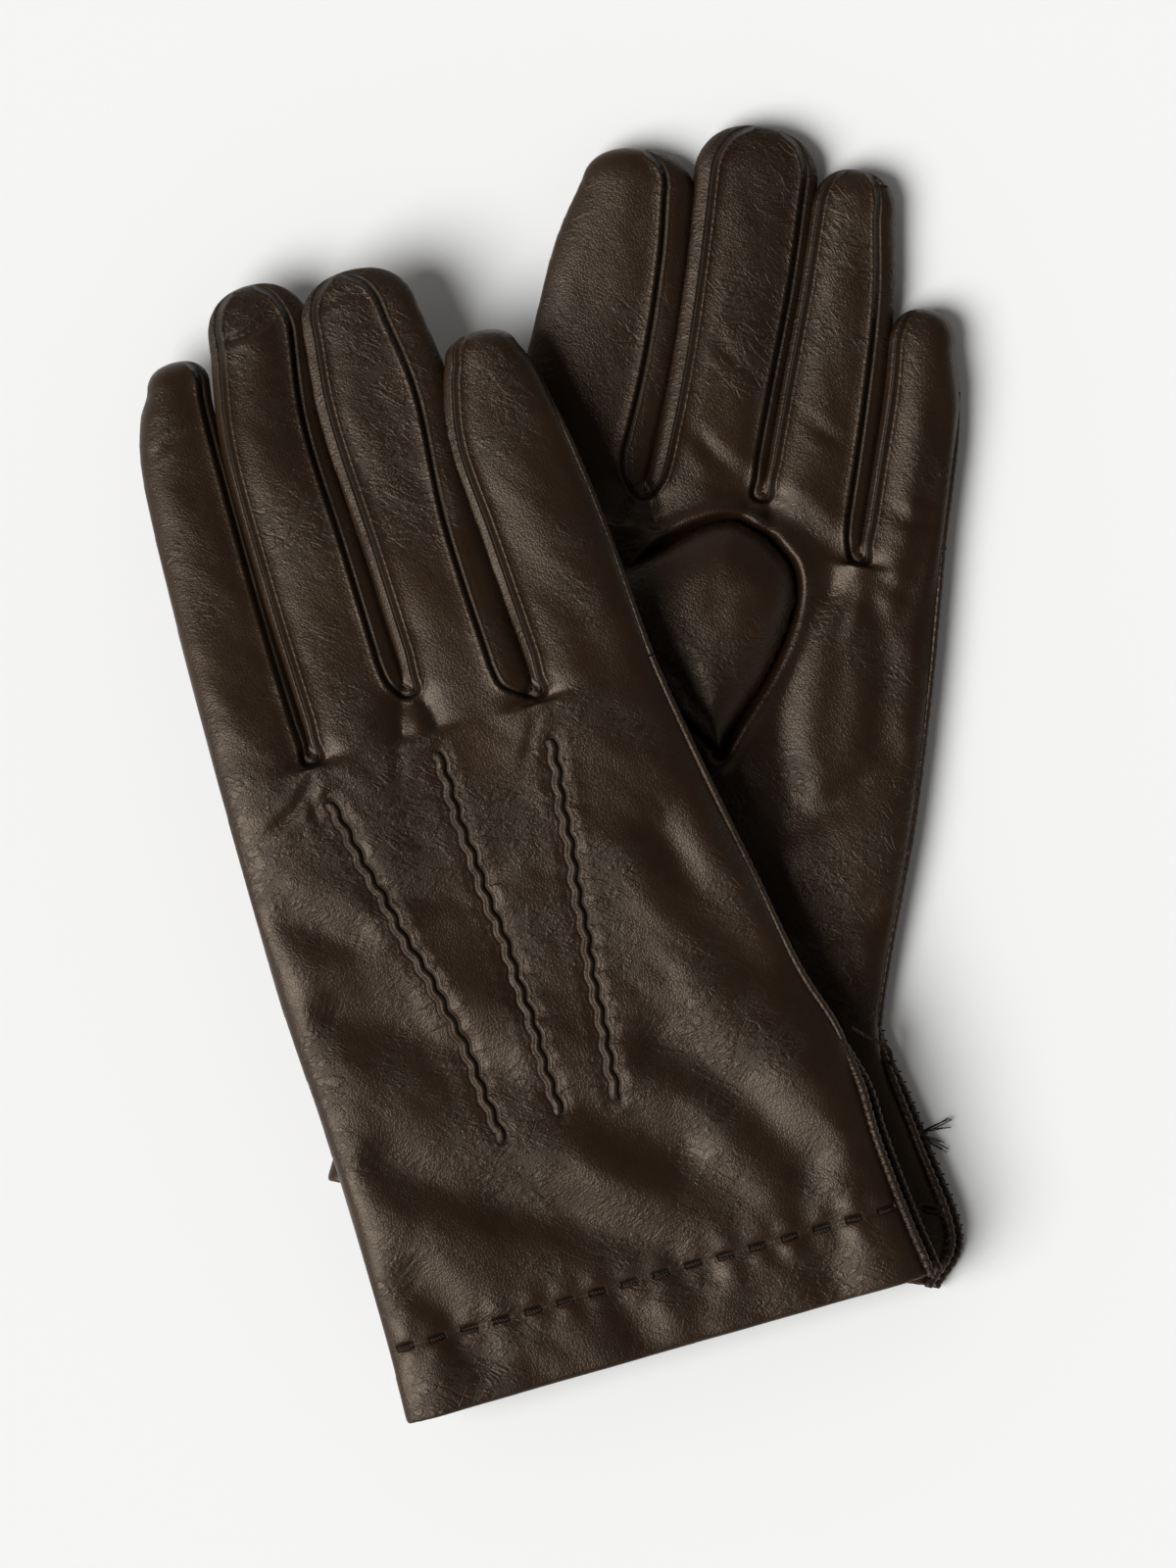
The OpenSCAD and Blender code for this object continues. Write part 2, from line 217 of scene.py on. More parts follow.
def loft(sections):
    """Vertices and faces of a closed skin over the sections."""
    n = len(sections[0])
    verts = np.vstack(sections)
    faces = []
    for i in range(len(sections) - 1):
        for k in range(n):
            m = (k + 1) % n
            faces.append((i * n + k, i * n + m, (i + 1) * n + m, (i + 1) * n + k))
    faces.append(tuple(range(n))[::-1])
    last = (len(sections) - 1) * n
    faces.append(tuple(last + k for k in range(n)))
    return verts, faces


def joined(parts):
    verts, faces, base = [], [], 0
    for v, f in parts:
        verts.append(v)
        faces += [tuple(base + i for i in q) for q in f]
        base += len(v)
    return np.vstack(verts), faces


def cuff_half(g, y):
    """Half the height of the hand, which is flatter at the cuff."""
    low = 3.9 if g["side"] == "right" else 4.2
    return low + (4.8 - low) * ease(y / 70)


def hand_solid(g):
    end = min(c[1] for c in g["crotches"]) - 1
    left, right = g["left_x"], g["right_x"]
    inner = [section(left(y) + WALL, right(y) - WALL, MID, cuff_half(g, y) - WALL, 9, y)
             for y in np.arange(116, -0.1, -4)]
    rim = [section(left(0) + 0.5, right(0) - 0.5, MID, cuff_half(g, 0) - 0.4, 11, -0.6)]
    outer = [section(left(y), right(y), MID, cuff_half(g, y), 12, y)
             for y in np.append(np.arange(0, end, 2), end)]
    return loft(inner + rim + outer)


def finger_solid(g, n, inset=0.0, start=-14):
    """One finger as a round-ended tube, its walls taken in by inset."""
    f = g["fingers"][n]
    a, b = f["squeeze"]
    end = f["tip_from"]
    out = []
    for y in np.append(np.arange(f["root"] + start, end, 3), end):
        yy = max(y, f["root"])
        out.append(section(f["xl"](yy) + a + inset, f["xr"](yy) - b - inset, MID,
                           4.7 - inset, 40, y, 2.25))
    xl, xr = f["xl"](end) + a + inset, f["xr"](end) - b - inset
    long = f["tip"] - inset - end
    for t in np.linspace(0, math.pi / 2, 9)[1:]:
        k = max(math.cos(t), 0.04) ** 0.85
        c, r = (xl + xr) / 2, (xr - xl) / 2
        out.append(section(c - r * k, c + r * k, MID, (4.7 - inset) * k ** 0.8, 40,
                           end + long * math.sin(t), 2.25))
    return loft(out)


def blob(centre, radii):
    """An ellipsoid."""
    rows = []
    for t in np.linspace(0.05, math.pi - 0.05, 12):
        rows.append(np.array([[centre[0] + radii[0] * math.sin(t) * math.cos(a),
                               centre[1] - radii[1] * math.cos(t),
                               centre[2] + radii[2] * math.sin(t) * math.sin(a)]
                              for a in np.linspace(0, 2 * math.pi, 24, endpoint=False)]))
    return loft(rows)


def new_mesh(name, verts, faces):
    mesh = bpy.data.meshes.new(name)
    mesh.from_pydata(np.asarray(verts).tolist(), [], faces)
    mesh.update()
    return mesh


def fused(verts, faces, voxel):
    """One even skin round solids that overlap. Returns vertices and quads."""
    mesh = new_mesh("fuse", verts, faces)
    obj = bpy.data.objects.new("fuse", mesh)
    bpy.context.collection.objects.link(obj)
    mod = obj.modifiers.new("fuse", "REMESH")
    mod.mode = "VOXEL"
    mod.voxel_size = voxel
    deps = bpy.context.evaluated_depsgraph_get()
    done = bpy.data.meshes.new_from_object(obj.evaluated_get(deps))
    v = np.empty(len(done.vertices) * 3)
    done.vertices.foreach_get("co", v)
    q = np.array([p.vertices[:] for p in done.polygons if len(p.vertices) == 4])
    bpy.data.objects.remove(obj)
    bpy.data.meshes.remove(mesh)
    bpy.data.meshes.remove(done)
    return v.reshape(-1, 3), q


def relax(v, q, rounds, keep=None):
    """Evens a skin out by moving each vertex to the middle of its neighbours."""
    e = np.vstack([q[:, [0, 1]], q[:, [1, 2]], q[:, [2, 3]], q[:, [3, 0]]])
    e = np.vstack([e, e[:, ::-1]])
    count = np.bincount(e[:, 0], minlength=len(v))[:, None]
    for _ in range(rounds):
        mean = np.stack([np.bincount(e[:, 0], weights=v[e[:, 1], k], minlength=len(v))
                         for k in range(3)], 1) / np.maximum(count, 1)
        step = 0.5 * (mean - v)
        v = v + (step if keep is None else step * keep[:, None])
    return v


# ---------------------------------------------------------------- seams


def seam_lines(g):
    """The U-shaped seams of the finger strips, one for each crotch, as (x, y)."""
    lines = []
    for i, (cx, cy) in enumerate(g["crotches"]):
        a, b = g["fingers"][i], g["fingers"][i + 1]
        ra, lb = a["seams"][1], b["seams"][0]
        ya = np.linspace(a["tip"] - 0.5, cy + 9, 40)
        yb = np.linspace(cy + 9, b["tip"] - 0.5, 40)
        up = [(a["xr"](y) - ra - tip_in(a, y, 1), y) for y in ya]
        down = [(b["xl"](y) + lb + tip_in(b, y, -1), y) for y in yb]
        xa, xb = up[-1][0], down[0][0]
        turn = [(xa + 0.15 * (cx - xa), cy + 4.5), (cx - 1.7, cy + 0.9), (cx, cy),
                (cx + 1.7, cy + 0.9), (xb + 0.15 * (cx - xb), cy + 4.5)]
        lines.append(through(up + turn + down, 0.4))
    return lines


def tip_in(f, y, side):
    """How far the side of a finger has come in by the height y of its tip."""
    end, tip = f["tip_from"], f["tip"]
    if y <= end:
        return 0.0
    half = (f["xr"](end) - f["xl"](end)) / 2 - 4
    t = (y - end) / (tip - end)
    return half * (1 - math.sqrt(max(0, 1 - t * t)))


def nearest(lines, x, y):
    """Distance to the nearest line, on which side of it, and how far along it, for each
    point. The side is 1 to the left of the way that the line runs and -1 to its right."""
    dist = np.full(len(x), 99.0)
    side = np.ones(len(x))
    run = np.zeros(len(x))
    for line in lines:
        tree = KDTree(len(line))
        for i, p in enumerate(line):
            tree.insert((p[0], p[1], 0), i)
        tree.balance()
        lo, hi = line.min(0) - 12, line.max(0) + 12
        near = np.where((x > lo[0]) & (x < hi[0]) & (y > lo[1]) & (y < hi[1]))[0]
        step = np.concatenate([[0], np.cumsum(np.linalg.norm(np.diff(line, axis=0), axis=1))])
        for k in near:
            _, i, d = tree.find((x[k], y[k], 0))
            if d < dist[k]:
                a, b = line[max(i - 1, 0)], line[min(i + 1, len(line) - 1)]
                t = (b - a) / max(np.linalg.norm(b - a), 1e-6)
                off = np.array([x[k], y[k]]) - line[i]
                dist[k] = math.hypot(*(off - t * (off @ t))) if 0 < i < len(line) - 1 else d
                run[k] = step[i] + off @ t
                side[k] = 1 if t[0] * off[1] - t[1] * off[0] > 0 else -1
    return dist, side, run


def inside_strip(g, x, y):
    """Whether each point lies between the two seams of a pair of fingers."""
    inside = np.zeros(len(x), bool)
    for line, (cx, cy) in zip(seam_lines(g), g["crotches"]):
        turn = np.argmin(line[:, 1])
        a, b = line[:turn + 1][::-1], line[turn:]
        xa = np.interp(y, a[:, 1], a[:, 0])
        xb = np.interp(y, b[:, 1], b[:, 0])
        top = min(a[-1, 1], b[-1, 1]) + 6
        inside |= (y > cy) & (x > xa) & (x < xb) & (y < top + 20)
    return inside


TEARDROP = through([(-24, 128), (-25, 141), (-20.2, 152.2), (-7.3, 160.6), (0.8, 159.7),
                    (5.7, 156.8), (9.8, 153.1), (11.8, 147), (11.2, 139), (8.9, 129.1),
                    (5.7, 121), (2.6, 114), (1.0, 109.0)], 0.5)
POINTS = [[(-39.2, 138), (-33, 110), (-26.5, 83), (-23.3, 56)],
          [(-13.3, 142), (-12.5, 120), (-10.3, 92), (-9.4, 58.5)],
          [(11.7, 138), (8.7, 110), (5.6, 80), (4, 58)]]
WAVE = 5.4


def wavy(run):
    """The centre line of a sewn point, which waves from side to side."""
    line = through(run, 0.4)
    along = np.concatenate([[0], np.cumsum(np.linalg.norm(np.diff(line, axis=0), axis=1))])
    line[:, 0] += 0.34 * np.sin(2 * math.pi * along / WAVE) + 0.16 * np.sin(along / 3.1)
    return line


def polygon_side(outline, x, y):
    """True where a point lies inside the closed outline."""
    inside = np.zeros(len(x), bool)
    a = outline
    b = np.roll(outline, -1, axis=0)
    for (x0, y0), (x1, y1) in zip(a, b):
        if y0 == y1:
            continue
        cross = (y0 > y) != (y1 > y)
        inside ^= cross & (x < (x1 - x0) * (y - y0) / (y1 - y0) + x0)
    return inside


# ---------------------------------------------------------------- drape


def crease(x, y, path, width, depth, fade=8.0):
    """A soft valley along a path, with low shoulders, fading at its ends."""
    line = through(path, 1.5)
    best = np.full(len(x), 1e9)
    at = np.zeros(len(x))
    for i, p in enumerate(line):
        d = np.hypot(x - p[0], y - p[1])
        closer = d < best
        best[closer] = d[closer]
        at[closer] = i * 1.5
    length = 1.5 * (len(line) - 1)
    ends = ease((at + 0.1) / fade) * ease((length - at + 0.1) / fade)
    d = best / width
    return -depth * ends * (np.exp(-d * d) - 0.25 * np.exp(-((d - 1.9) / 0.9) ** 2))


UPPER_FOLDS = [
    ([(-40, 147), (-46, 140), (-57, 134)], 1.3, 0.6),
    ([(-40, 146), (-43, 138), (-41, 130)], 1.1, 0.4),
    ([(-60, 122), (-50, 112), (-36, 104)], 4.5, 0.9),
    ([(-58, 96), (-30, 80), (-4, 56), (20, 36)], 6.5, 1.2),
    ([(-56, 62), (-30, 44), (0, 26), (16, 8)], 6.0, 1.1),
    ([(12, 74), (30, 52), (44, 24)], 6.0, 1.2),
    ([(28, 120), (34, 96), (44, 70)], 5.0, 0.9),
    ([(-56, 36), (-44, 20), (-40, 2)], 5.0, 0.9),
    ([(-10, 22), (-6, 8), (-8, -2)], 5.0, 0.7),
    ([(34, 30), (40, 14), (38, -2)], 5.0, 0.8),
    ([(-17, 155), (-21, 147), (-24, 134)], 1.5, 0.25),
    ([(11, 147), (8, 140), (2, 132)], 1.3, 0.25),
    ([(-38, 243), (-29, 243), (-19, 246)], 0.9, 1.0),
    ([(-16, 242), (-8, 245), (0, 246)], 0.9, 0.7),
    ([(-58, 222), (-50, 225), (-43, 226)], 1.2, 0.5),
    ([(-40, 118), (-20, 112), (0, 116)], 3.5, 0.5)]
LOWER_FOLDS = [
    ([(24, 155), (14, 140), (13, 120), (20, 96)], 4.0, 1.3),
    ([(-14, 170), (4, 166), (17, 158), (20, 142)], 3.0, 1.0),
    ([(25, 156), (34, 138), (36, 112)], 3.5, 0.9),
    ([(44, 120), (30, 104), (12, 92)], 4.5, 1.2),
    ([(25, 156), (40, 150)], 2.0, 0.6),
    ([(25, 154), (22, 136)], 1.5, 0.6),
    ([(46, 84), (30, 74), (10, 70)], 4.0, 0.9),
    ([(-20, 182), (-10, 174), (0, 170)], 2.0, 0.6),
    ([(-20, 205), (-10, 196), (-2, 192)], 1.6, 0.4),
    ([(4, 190), (12, 184), (20, 182)], 1.6, 0.4),
    ([(26, 172), (34, 168), (42, 170)], 1.8, 0.5),
    ([(36, 200), (38, 170), (36, 140)], 2.4, 0.6)]


def hem_phase(g, x):
    """An angle that turns once from each stitch of the hem to the next."""
    pitch = (g["right_x"](HEM_H) - g["left_x"](HEM_H) - 8) / 15
    return (x - g["left_x"](HEM_H) - 4) / pitch * 2 * math.pi


def drape(g, v):
    """Gives a glove's skin its folds, and the valley and puckers along its hem."""
    x, y, z = v[:, 0], v[:, 1], v[:, 2]
    top = ease((z - MID) / 3.0)
    folds = UPPER_FOLDS if g["side"] == "right" else LOWER_FOLDS
    lean = 115 if g["side"] == "right" else 98
    dz = 0.72 * streaks(x, y, lean, 3.4, 15, 3) + 0.26 * streaks(x, y, lean - 18, 3.0, 7.5, 5)
    dz += 0.3 * noise(x, y, 24, 8) + 0.1 * streaks(x, y, lean + 14, 2.6, 3.4, 12)
    if g["side"] == "left":
        dz *= 0.7
    for path, width, depth in folds:
        dz += crease(x, y, path, width, (0.8 if g["side"] == "left" else 1.15) * depth)
    # The hem is drawn in along its row of stitches
    row = np.exp(-((y - HEM_H) / 1.5) ** 2)
    phase = hem_phase(g, x)
    dz -= row * (0.42 + 0.22 * np.cos(phase))
    dz += 0.07 * np.cos(phase) * np.exp(-((y - HEM_H) / 5) ** 2)
    dist = v.copy()
    dist[:, 2] += dz * top
    # the side that lies down or is hidden only gets a little
    under = ease((MID - z) / 3.0)
    dist[:, 2] += under * 0.25 * noise(x, y, 20, 21) * (1 if g["side"] == "right" else 0)
    return dist


def widen(g, v):
    """Brings the fingers out to their full widths, so that they touch."""
    v = v.copy()
    n = finger_of(g, v[:, 0], v[:, 1])
    for i, f in enumerate(g["fingers"]):
        a, b = f["squeeze"]
        near = [g["crotches"][k][1] for k in (i - 1, i) if 0 <= k < 3]
        here = (n == i) & (v[:, 1] > min(near))
        x, y = v[here, 0], v[here, 1]
        fl, fr = f["xl"](y), f["xr"](y)
        pl, pr = (PRESS if a else 0), (PRESS if b else 0)
        full = fl - pl + (x - fl - a) * (fr - fl + pl + pr) / (fr - fl - a - b)
        # each half of the finger starts to widen at its own crotch
        side = ease((x - fl) / (fr - fl))
        left_c = g["crotches"][i - 1][1] if i > 0 else g["crotches"][0][1]
        right_c = g["crotches"][i][1] if i < 3 else g["crotches"][2][1]
        start = left_c * (1 - side) + right_c * side
        v[here, 0] = x + (full - x) * ease((y - start) / 4.5)
    return v


def seam_valleys(g, v, dist, strip):
    """The valley of each finger seam, and the rolled lip of leather beside it."""
    top = ease((v[:, 2] - MID) / 1.5)
    d = np.where(strip, -dist, dist)
    dz = -0.55 * np.exp(-(d / 0.7) ** 2) + 0.3 * np.exp(-((d - 1.5) / 0.9) ** 2)
    dz -= 0.6 * ease(-d / 1.5) * np.exp(-(d / 5) ** 2)
    v = v.copy()
    v[:, 2] += dz * top
    return v


# ---------------------------------------------------------------- materials


def node_tree(name):
    m = bpy.data.materials.new(name)
    m.use_nodes = True
    t = m.node_tree
    t.nodes.clear()
    out = t.nodes.new("ShaderNodeOutputMaterial")
    bsdf = t.nodes.new("ShaderNodeBsdfPrincipled")
    t.links.new(bsdf.outputs[0], out.inputs["Surface"])
    return m, t, bsdf


class Graph:
    """Short names for building a shader from maths on its inputs."""

    def __init__(self, tree):
        self.t = tree

    def node(self, kind, **inputs):
        n = self.t.nodes.new(kind)
        for key, value in inputs.items():
            self.put(n.inputs[key.replace("_", " ")], value)
        return n

    def put(self, socket, value):
        if hasattr(value, "is_output"):
            self.t.links.new(value, socket)
        else:
            socket.default_value = value

    def maths(self, op, a, b=None, c=None):
        n = self.t.nodes.new("ShaderNodeMath")
        n.operation = op
        for socket, value in zip(n.inputs, (a, b, c)):
            if value is not None:
                self.put(socket, value)
        return n.outputs[0]

    def attribute(self, name, out="Fac"):
        n = self.t.nodes.new("ShaderNodeAttribute")
        n.attribute_name = name
        return n.outputs[out]

    def bell(self, value, middle, width):
        """1 where value is middle, falling to 0 over width."""
        d = self.maths("DIVIDE", self.maths("SUBTRACT", value, middle), width)
        return self.maths("EXPONENT", self.maths("MULTIPLY", self.maths("MULTIPLY", d, d), -1.0))

    def wrinkles(self, at, turn, stretch, size, sharp):
        """Thin wandering lines, drawn out along one direction."""
        place = self.node("ShaderNodeMapping", Vector=at)
        place.vector_type = "TEXTURE"
        place.inputs["Rotation"].default_value = (0, 0, turn)
        place.inputs["Scale"].default_value = (stretch, 1, stretch)
        n = self.node("ShaderNodeTexNoise", Vector=place.outputs[0], Scale=size, Detail=3.0,
                      Roughness=0.6, Distortion=0.4).outputs["Fac"]
        off = self.maths("ABSOLUTE", self.times(self.plus(n, -0.5), sharp))
        return self.maths("EXPONENT", self.times(self.times(off, off), -2.5))

    def times(self, a, b):
        return self.maths("MULTIPLY", a, b)

    def plus(self, *values):
        total = values[0]
        for v in values[1:]:
            total = self.maths("ADD", total, v)
        return total


def leather(name, tint=1.0, rough=0.345):
    """Dark brown nappa with a fine grain, small creases, and its seams, with painted shade in its grooves, dents
    and creases.
    """
    m, t, bsdf = node_tree(name)
    g = Graph(t)
    at = g.attribute("rest", "Vector")
    seam, run = g.attribute("seam"), g.attribute("run")
    tuck, tuck_run = g.attribute("tuck"), g.attribute("tuckrun")

    cloud = g.node("ShaderNodeTexNoise", Vector=at, Scale=0.035, Detail=4.0).outputs["Fac"]
    mottle = g.node("ShaderNodeTexNoise", Vector=at, Scale=0.5, Detail=5.0, Roughness=0.65).outputs["Fac"]
    fine = g.node("ShaderNodeTexNoise", Vector=at, Scale=2.6, Detail=3.0, Roughness=0.6).outputs["Fac"]
    pores = g.node("ShaderNodeTexVoronoi", Vector=at, Scale=1.35)
    pores.feature = "DISTANCE_TO_EDGE"
    cell = pores.outputs["Distance"]
    patch = g.node("ShaderNodeTexNoise", Vector=at, Scale=0.05, Detail=2.0).outputs["Fac"]
    where = g.maths("MINIMUM", g.maths("MAXIMUM", g.times(g.plus(patch, -0.44), 6.0), 0.12), 1.0)
    lines = g.plus(*[g.wrinkles(at, turn, stretch, size, sharp) for turn, stretch, size, sharp in (
        (0.5, 2.6, 0.17, 20.0), (-0.7, 3.0, 0.23, 20.0), (0.1, 2.4, 0.34, 14.0))])
    creases = g.times(g.maths("MINIMUM", lines, 1.2), where)

    # Threads of the seam: small dashes in the groove
    dash = g.maths("SINE", g.times(run, 2 * math.pi / 1.9))
    groove = g.bell(seam, 0.0, 0.42)
    lip = g.bell(seam, 1.15, 0.55)
    under_lip = g.bell(seam, -1.0, 0.7)
    pucker = g.times(g.bell(seam, 0.7, 0.9), g.times(dash, 0.035))
    # Each point's groove is cut deeper on one side and, through the colour below, painted darker there: painted
    # shade on the side away from the light.
    deeper_and_shaded_side = g.plus(g.times(g.attribute("tuckside"), 0.3), 0.7)
    tuck_groove = g.times(g.bell(tuck, 1.1, 0.45), deeper_and_shaded_side)
    tuck_wave = g.maths("SINE", g.times(tuck_run, 2 * math.pi / WAVE))
    hem, hem_run = g.attribute("hem"), g.attribute("hemrun")
    on = g.maths("MINIMUM", g.maths("MAXIMUM", g.times(g.plus(g.maths("COSINE", hem_run), 0.25), 3.0), 0.0), 1.0)
    # sewn also darkens the colour below: painted shade in the dents along the hem's stitches.
    sewn = g.times(g.bell(hem, 0.0, 0.62), g.plus(g.times(on, 0.85), 0.15))
    drawn = g.times(g.bell(hem, 0.0, 4.5), g.times(g.maths("COSINE", hem_run), 0.16))
    fold_fan = g.node("ShaderNodeTexNoise", Vector=at, Scale=0.55, Detail=2.0).outputs["Fac"]
    tuck_pucker = g.times(g.bell(tuck, 2.6, 2.2),
                          g.plus(g.times(tuck_wave, 0.06), g.times(fold_fan, 0.18)))

    height = g.plus(
        g.times(groove, -0.6), g.times(lip, 0.3), g.times(under_lip, -0.12), pucker,
        g.times(tuck_groove, -0.6), tuck_pucker, g.times(sewn, -0.8), drawn,
        g.times(creases, -0.085), g.times(mottle, 0.05), g.times(fine, 0.02),
        g.times(g.maths("MINIMUM", cell, 0.2), 0.13))
    bump = g.node("ShaderNodeBump", Height=height)
    bump.inputs["Strength"].default_value = 1.0
    bump.inputs["Distance"].default_value = 0.001
    g.put(bsdf.inputs["Normal"], bump.outputs[0])

    ramp = t.nodes.new("ShaderNodeValToRGB")
    ramp.color_ramp.elements[0].position = 0.32
    ramp.color_ramp.elements[0].color = (0.0106 * tint, 0.0047 * tint, 0.0021 * tint, 1)
    ramp.color_ramp.elements[1].position = 0.72
    ramp.color_ramp.elements[1].color = (0.0240 * tint, 0.0115 * tint, 0.0052 * tint, 1)
    g.put(ramp.inputs[0], g.plus(g.times(cloud, 0.8), g.times(mottle, 0.12), g.times(fine, 0.08)))
    # Painted shade: the colour is darkened towards near-black in the seam grooves, where it also stands for the
    # dark seam thread, and in the points' grooves, the hem's stitch dents and the creases.
    shade_and_seam_thread = g.maths("MINIMUM", g.plus(g.times(groove, 0.85), g.times(tuck_groove, 0.75), g.times(sewn, 0.7),
                                     g.times(creases, 0.42)), 1.0)
    mix = t.nodes.new("ShaderNodeMix")
    mix.data_type = "RGBA"
    g.put(mix.inputs["Factor"], shade_and_seam_thread)
    g.put(mix.inputs["A"], ramp.outputs[0])
    mix.inputs["B"].default_value = (0.006, 0.003, 0.002, 1)
    g.put(bsdf.inputs["Base Color"], mix.outputs["Result"])
    g.put(bsdf.inputs["Roughness"], g.plus(rough - 0.06, g.times(mottle, 0.12), g.times(shade_and_seam_thread, 0.3)))
    bsdf.inputs["Specular IOR Level"].default_value = 0.43
    bsdf.inputs["Specular Tint"].default_value = (1.0, 0.83, 0.66, 1)
    return m


def knit(name):
    """Matt fine-knit lining."""
    m, t, bsdf = node_tree(name)
    g = Graph(t)
    at = g.attribute("rest", "Vector")
    sep = g.node("ShaderNodeSeparateXYZ", Vector=at)
    wale = g.maths("SINE", g.times(sep.outputs["X"], 2 * math.pi / 1.1))
    course = g.maths("SINE", g.plus(g.times(sep.outputs["Y"], 2 * math.pi / 0.9),
                                    g.times(g.maths("ABSOLUTE", wale), 2.0)))
    fuzz = g.node("ShaderNodeTexNoise", Vector=at, Scale=3.0, Detail=4.0).outputs["Fac"]
    bump = g.node("ShaderNodeBump", Height=g.plus(g.times(wale, 0.15), g.times(course, 0.12),
                                                  g.times(fuzz, 0.2)))
    bump.inputs["Distance"].default_value = 0.001
    g.put(bsdf.inputs["Normal"], bump.outputs[0])
    ramp = t.nodes.new("ShaderNodeValToRGB")
    ramp.color_ramp.elements[0].color = (0.010, 0.007, 0.005, 1)
    ramp.color_ramp.elements[1].color = (0.034, 0.025, 0.019, 1)
    g.put(ramp.inputs[0], g.plus(g.times(fuzz, 0.7), g.times(wale, 0.12), 0.1))
    g.put(bsdf.inputs["Base Color"], ramp.outputs[0])
    bsdf.inputs["Roughness"].default_value = 0.95
    bsdf.inputs["Sheen Weight"].default_value = 0.3
    return m


def thread(name):
    """Twisted sewing thread."""
    m, t, bsdf = node_tree(name)
    g = Graph(t)
    at = g.attribute("rest", "Vector")
    sep = g.node("ShaderNodeSeparateXYZ", Vector=at)
    ply = g.maths("SINE", g.plus(g.times(sep.outputs["X"], 9.0), g.times(sep.outputs["Y"], 6.0)))
    fuzz = g.node("ShaderNodeTexNoise", Vector=at, Scale=4.0, Detail=3.0).outputs["Fac"]
    bump = g.node("ShaderNodeBump", Height=g.plus(g.times(ply, 0.1), g.times(fuzz, 0.12)))
    bump.inputs["Distance"].default_value = 0.001
    g.put(bsdf.inputs["Normal"], bump.outputs[0])
    ramp = t.nodes.new("ShaderNodeValToRGB")
    ramp.color_ramp.elements[0].color = (0.010, 0.005, 0.003, 1)
    ramp.color_ramp.elements[1].color = (0.034, 0.017, 0.011, 1)
    g.put(ramp.inputs[0], g.plus(g.times(ply, 0.25), g.times(fuzz, 0.8)))
    g.put(bsdf.inputs["Base Color"], ramp.outputs[0])
    bsdf.inputs["Roughness"].default_value = 0.7
    bsdf.inputs["Specular IOR Level"].default_value = 0.25
    return m


LEATHER = leather("glove leather")
TRIM = leather("leather trim", 0.95, 0.42)
KNIT = knit("knitted lining")
THREAD = thread("sewing thread")

# ---------------------------------------------------------------- pieces


def put_attribute(mesh, name, values, kind="FLOAT"):
    a = mesh.attributes.new(name, kind, "POINT")
    key = "value" if kind == "FLOAT" else "vector"
    a.data.foreach_set(key, np.asarray(values, np.float32).ravel())


def piece(name, verts, faces, material, slot_name, rest=None, normals=None, **attributes):
    """A shown object from row-frame vertices, with the attributes that its shader reads."""
    used, index = np.unique(np.concatenate([np.array(f) for f in faces]), return_inverse=True)
    cuts = np.cumsum([len(f) for f in faces])[:-1]
    local = [tuple(p) for p in np.split(index, cuts)]
    mesh = new_mesh(name, np.asarray(verts)[used], local)
    mesh.materials.append(material)
    put_attribute(mesh, "rest", (np.asarray(verts) / MM if rest is None else rest)[used], "FLOAT_VECTOR")
    for key, default in (("seam", 9.0), ("run", 0.0), ("tuck", 9.0), ("tuckside", 0.0),
                         ("tuckrun", 0.0), ("hem", 99.0), ("hemrun", 0.0)):
        put_attribute(mesh, key, attributes[key][used] if key in attributes
                      else np.full(len(used), default))
    mesh.shade_smooth()
    if normals is not None:
        mesh.normals_split_custom_set_from_vertices(normals[used].tolist())
    obj = bpy.data.objects.new(name, mesh)
    bpy.context.collection.objects.link(obj)
    return obj


def ride_or_blend(g, obj, part, bends):
    """Attaches a piece that doesn't bend to its part's body. For a piece that bends, two points past its knuckle
    are worked out but not used, and its transform is only baked in: it is attached to no body and nothing bends
    it.
    """
    side = g["side"]
    body = f"{side}_{part}"
    if not bends:
        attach(obj, body)
        return obj
    k = g["knuckle"] if part != "index_tip" else INDEX_SPLIT
    n = NAMES.index(part.replace("_tip", ""))
    f = g["fingers"][n]
    x = (f["xl"](k) + f["xr"](k)) / 2
    a, b = lay(g, droop(g, np.array([(x, k + 5, MID), (x, k + 20, MID)]), n))
    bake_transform(obj)
    return obj


def vertex_normals(v, q):
    n = np.cross(v[q[:, 2]] - v[q[:, 0]], v[q[:, 3]] - v[q[:, 1]])
    out = np.stack([sum(np.bincount(q[:, c], weights=n[:, k], minlength=len(v)) for c in range(4))
                    for k in range(3)], 1)
    return out / np.maximum(np.linalg.norm(out, axis=1, keepdims=True), 1e-12)


def tube(path, radius, sides=10, squash=1.0):
    """A tube along a path; radius is one number or one for each point."""
    p = np.asarray(path, float)
    r = np.broadcast_to(radius, len(p))
    t = np.gradient(p, axis=0)
    t /= np.linalg.norm(t, axis=1, keepdims=True)
    up = np.array([0.0, 0.0, 1.0])
    u = np.cross(t, up)
    bad = np.linalg.norm(u, axis=1) < 1e-3
    u[bad] = (1, 0, 0)
    u /= np.linalg.norm(u, axis=1, keepdims=True)
    w = np.cross(u, t)
    a = np.linspace(0, 2 * math.pi, sides, endpoint=False)
    rings = [p[i] + r[i] * (np.cos(a)[:, None] * u[i] + squash * np.sin(a)[:, None] * w[i])
             for i in range(len(p))]
    return loft(rings)


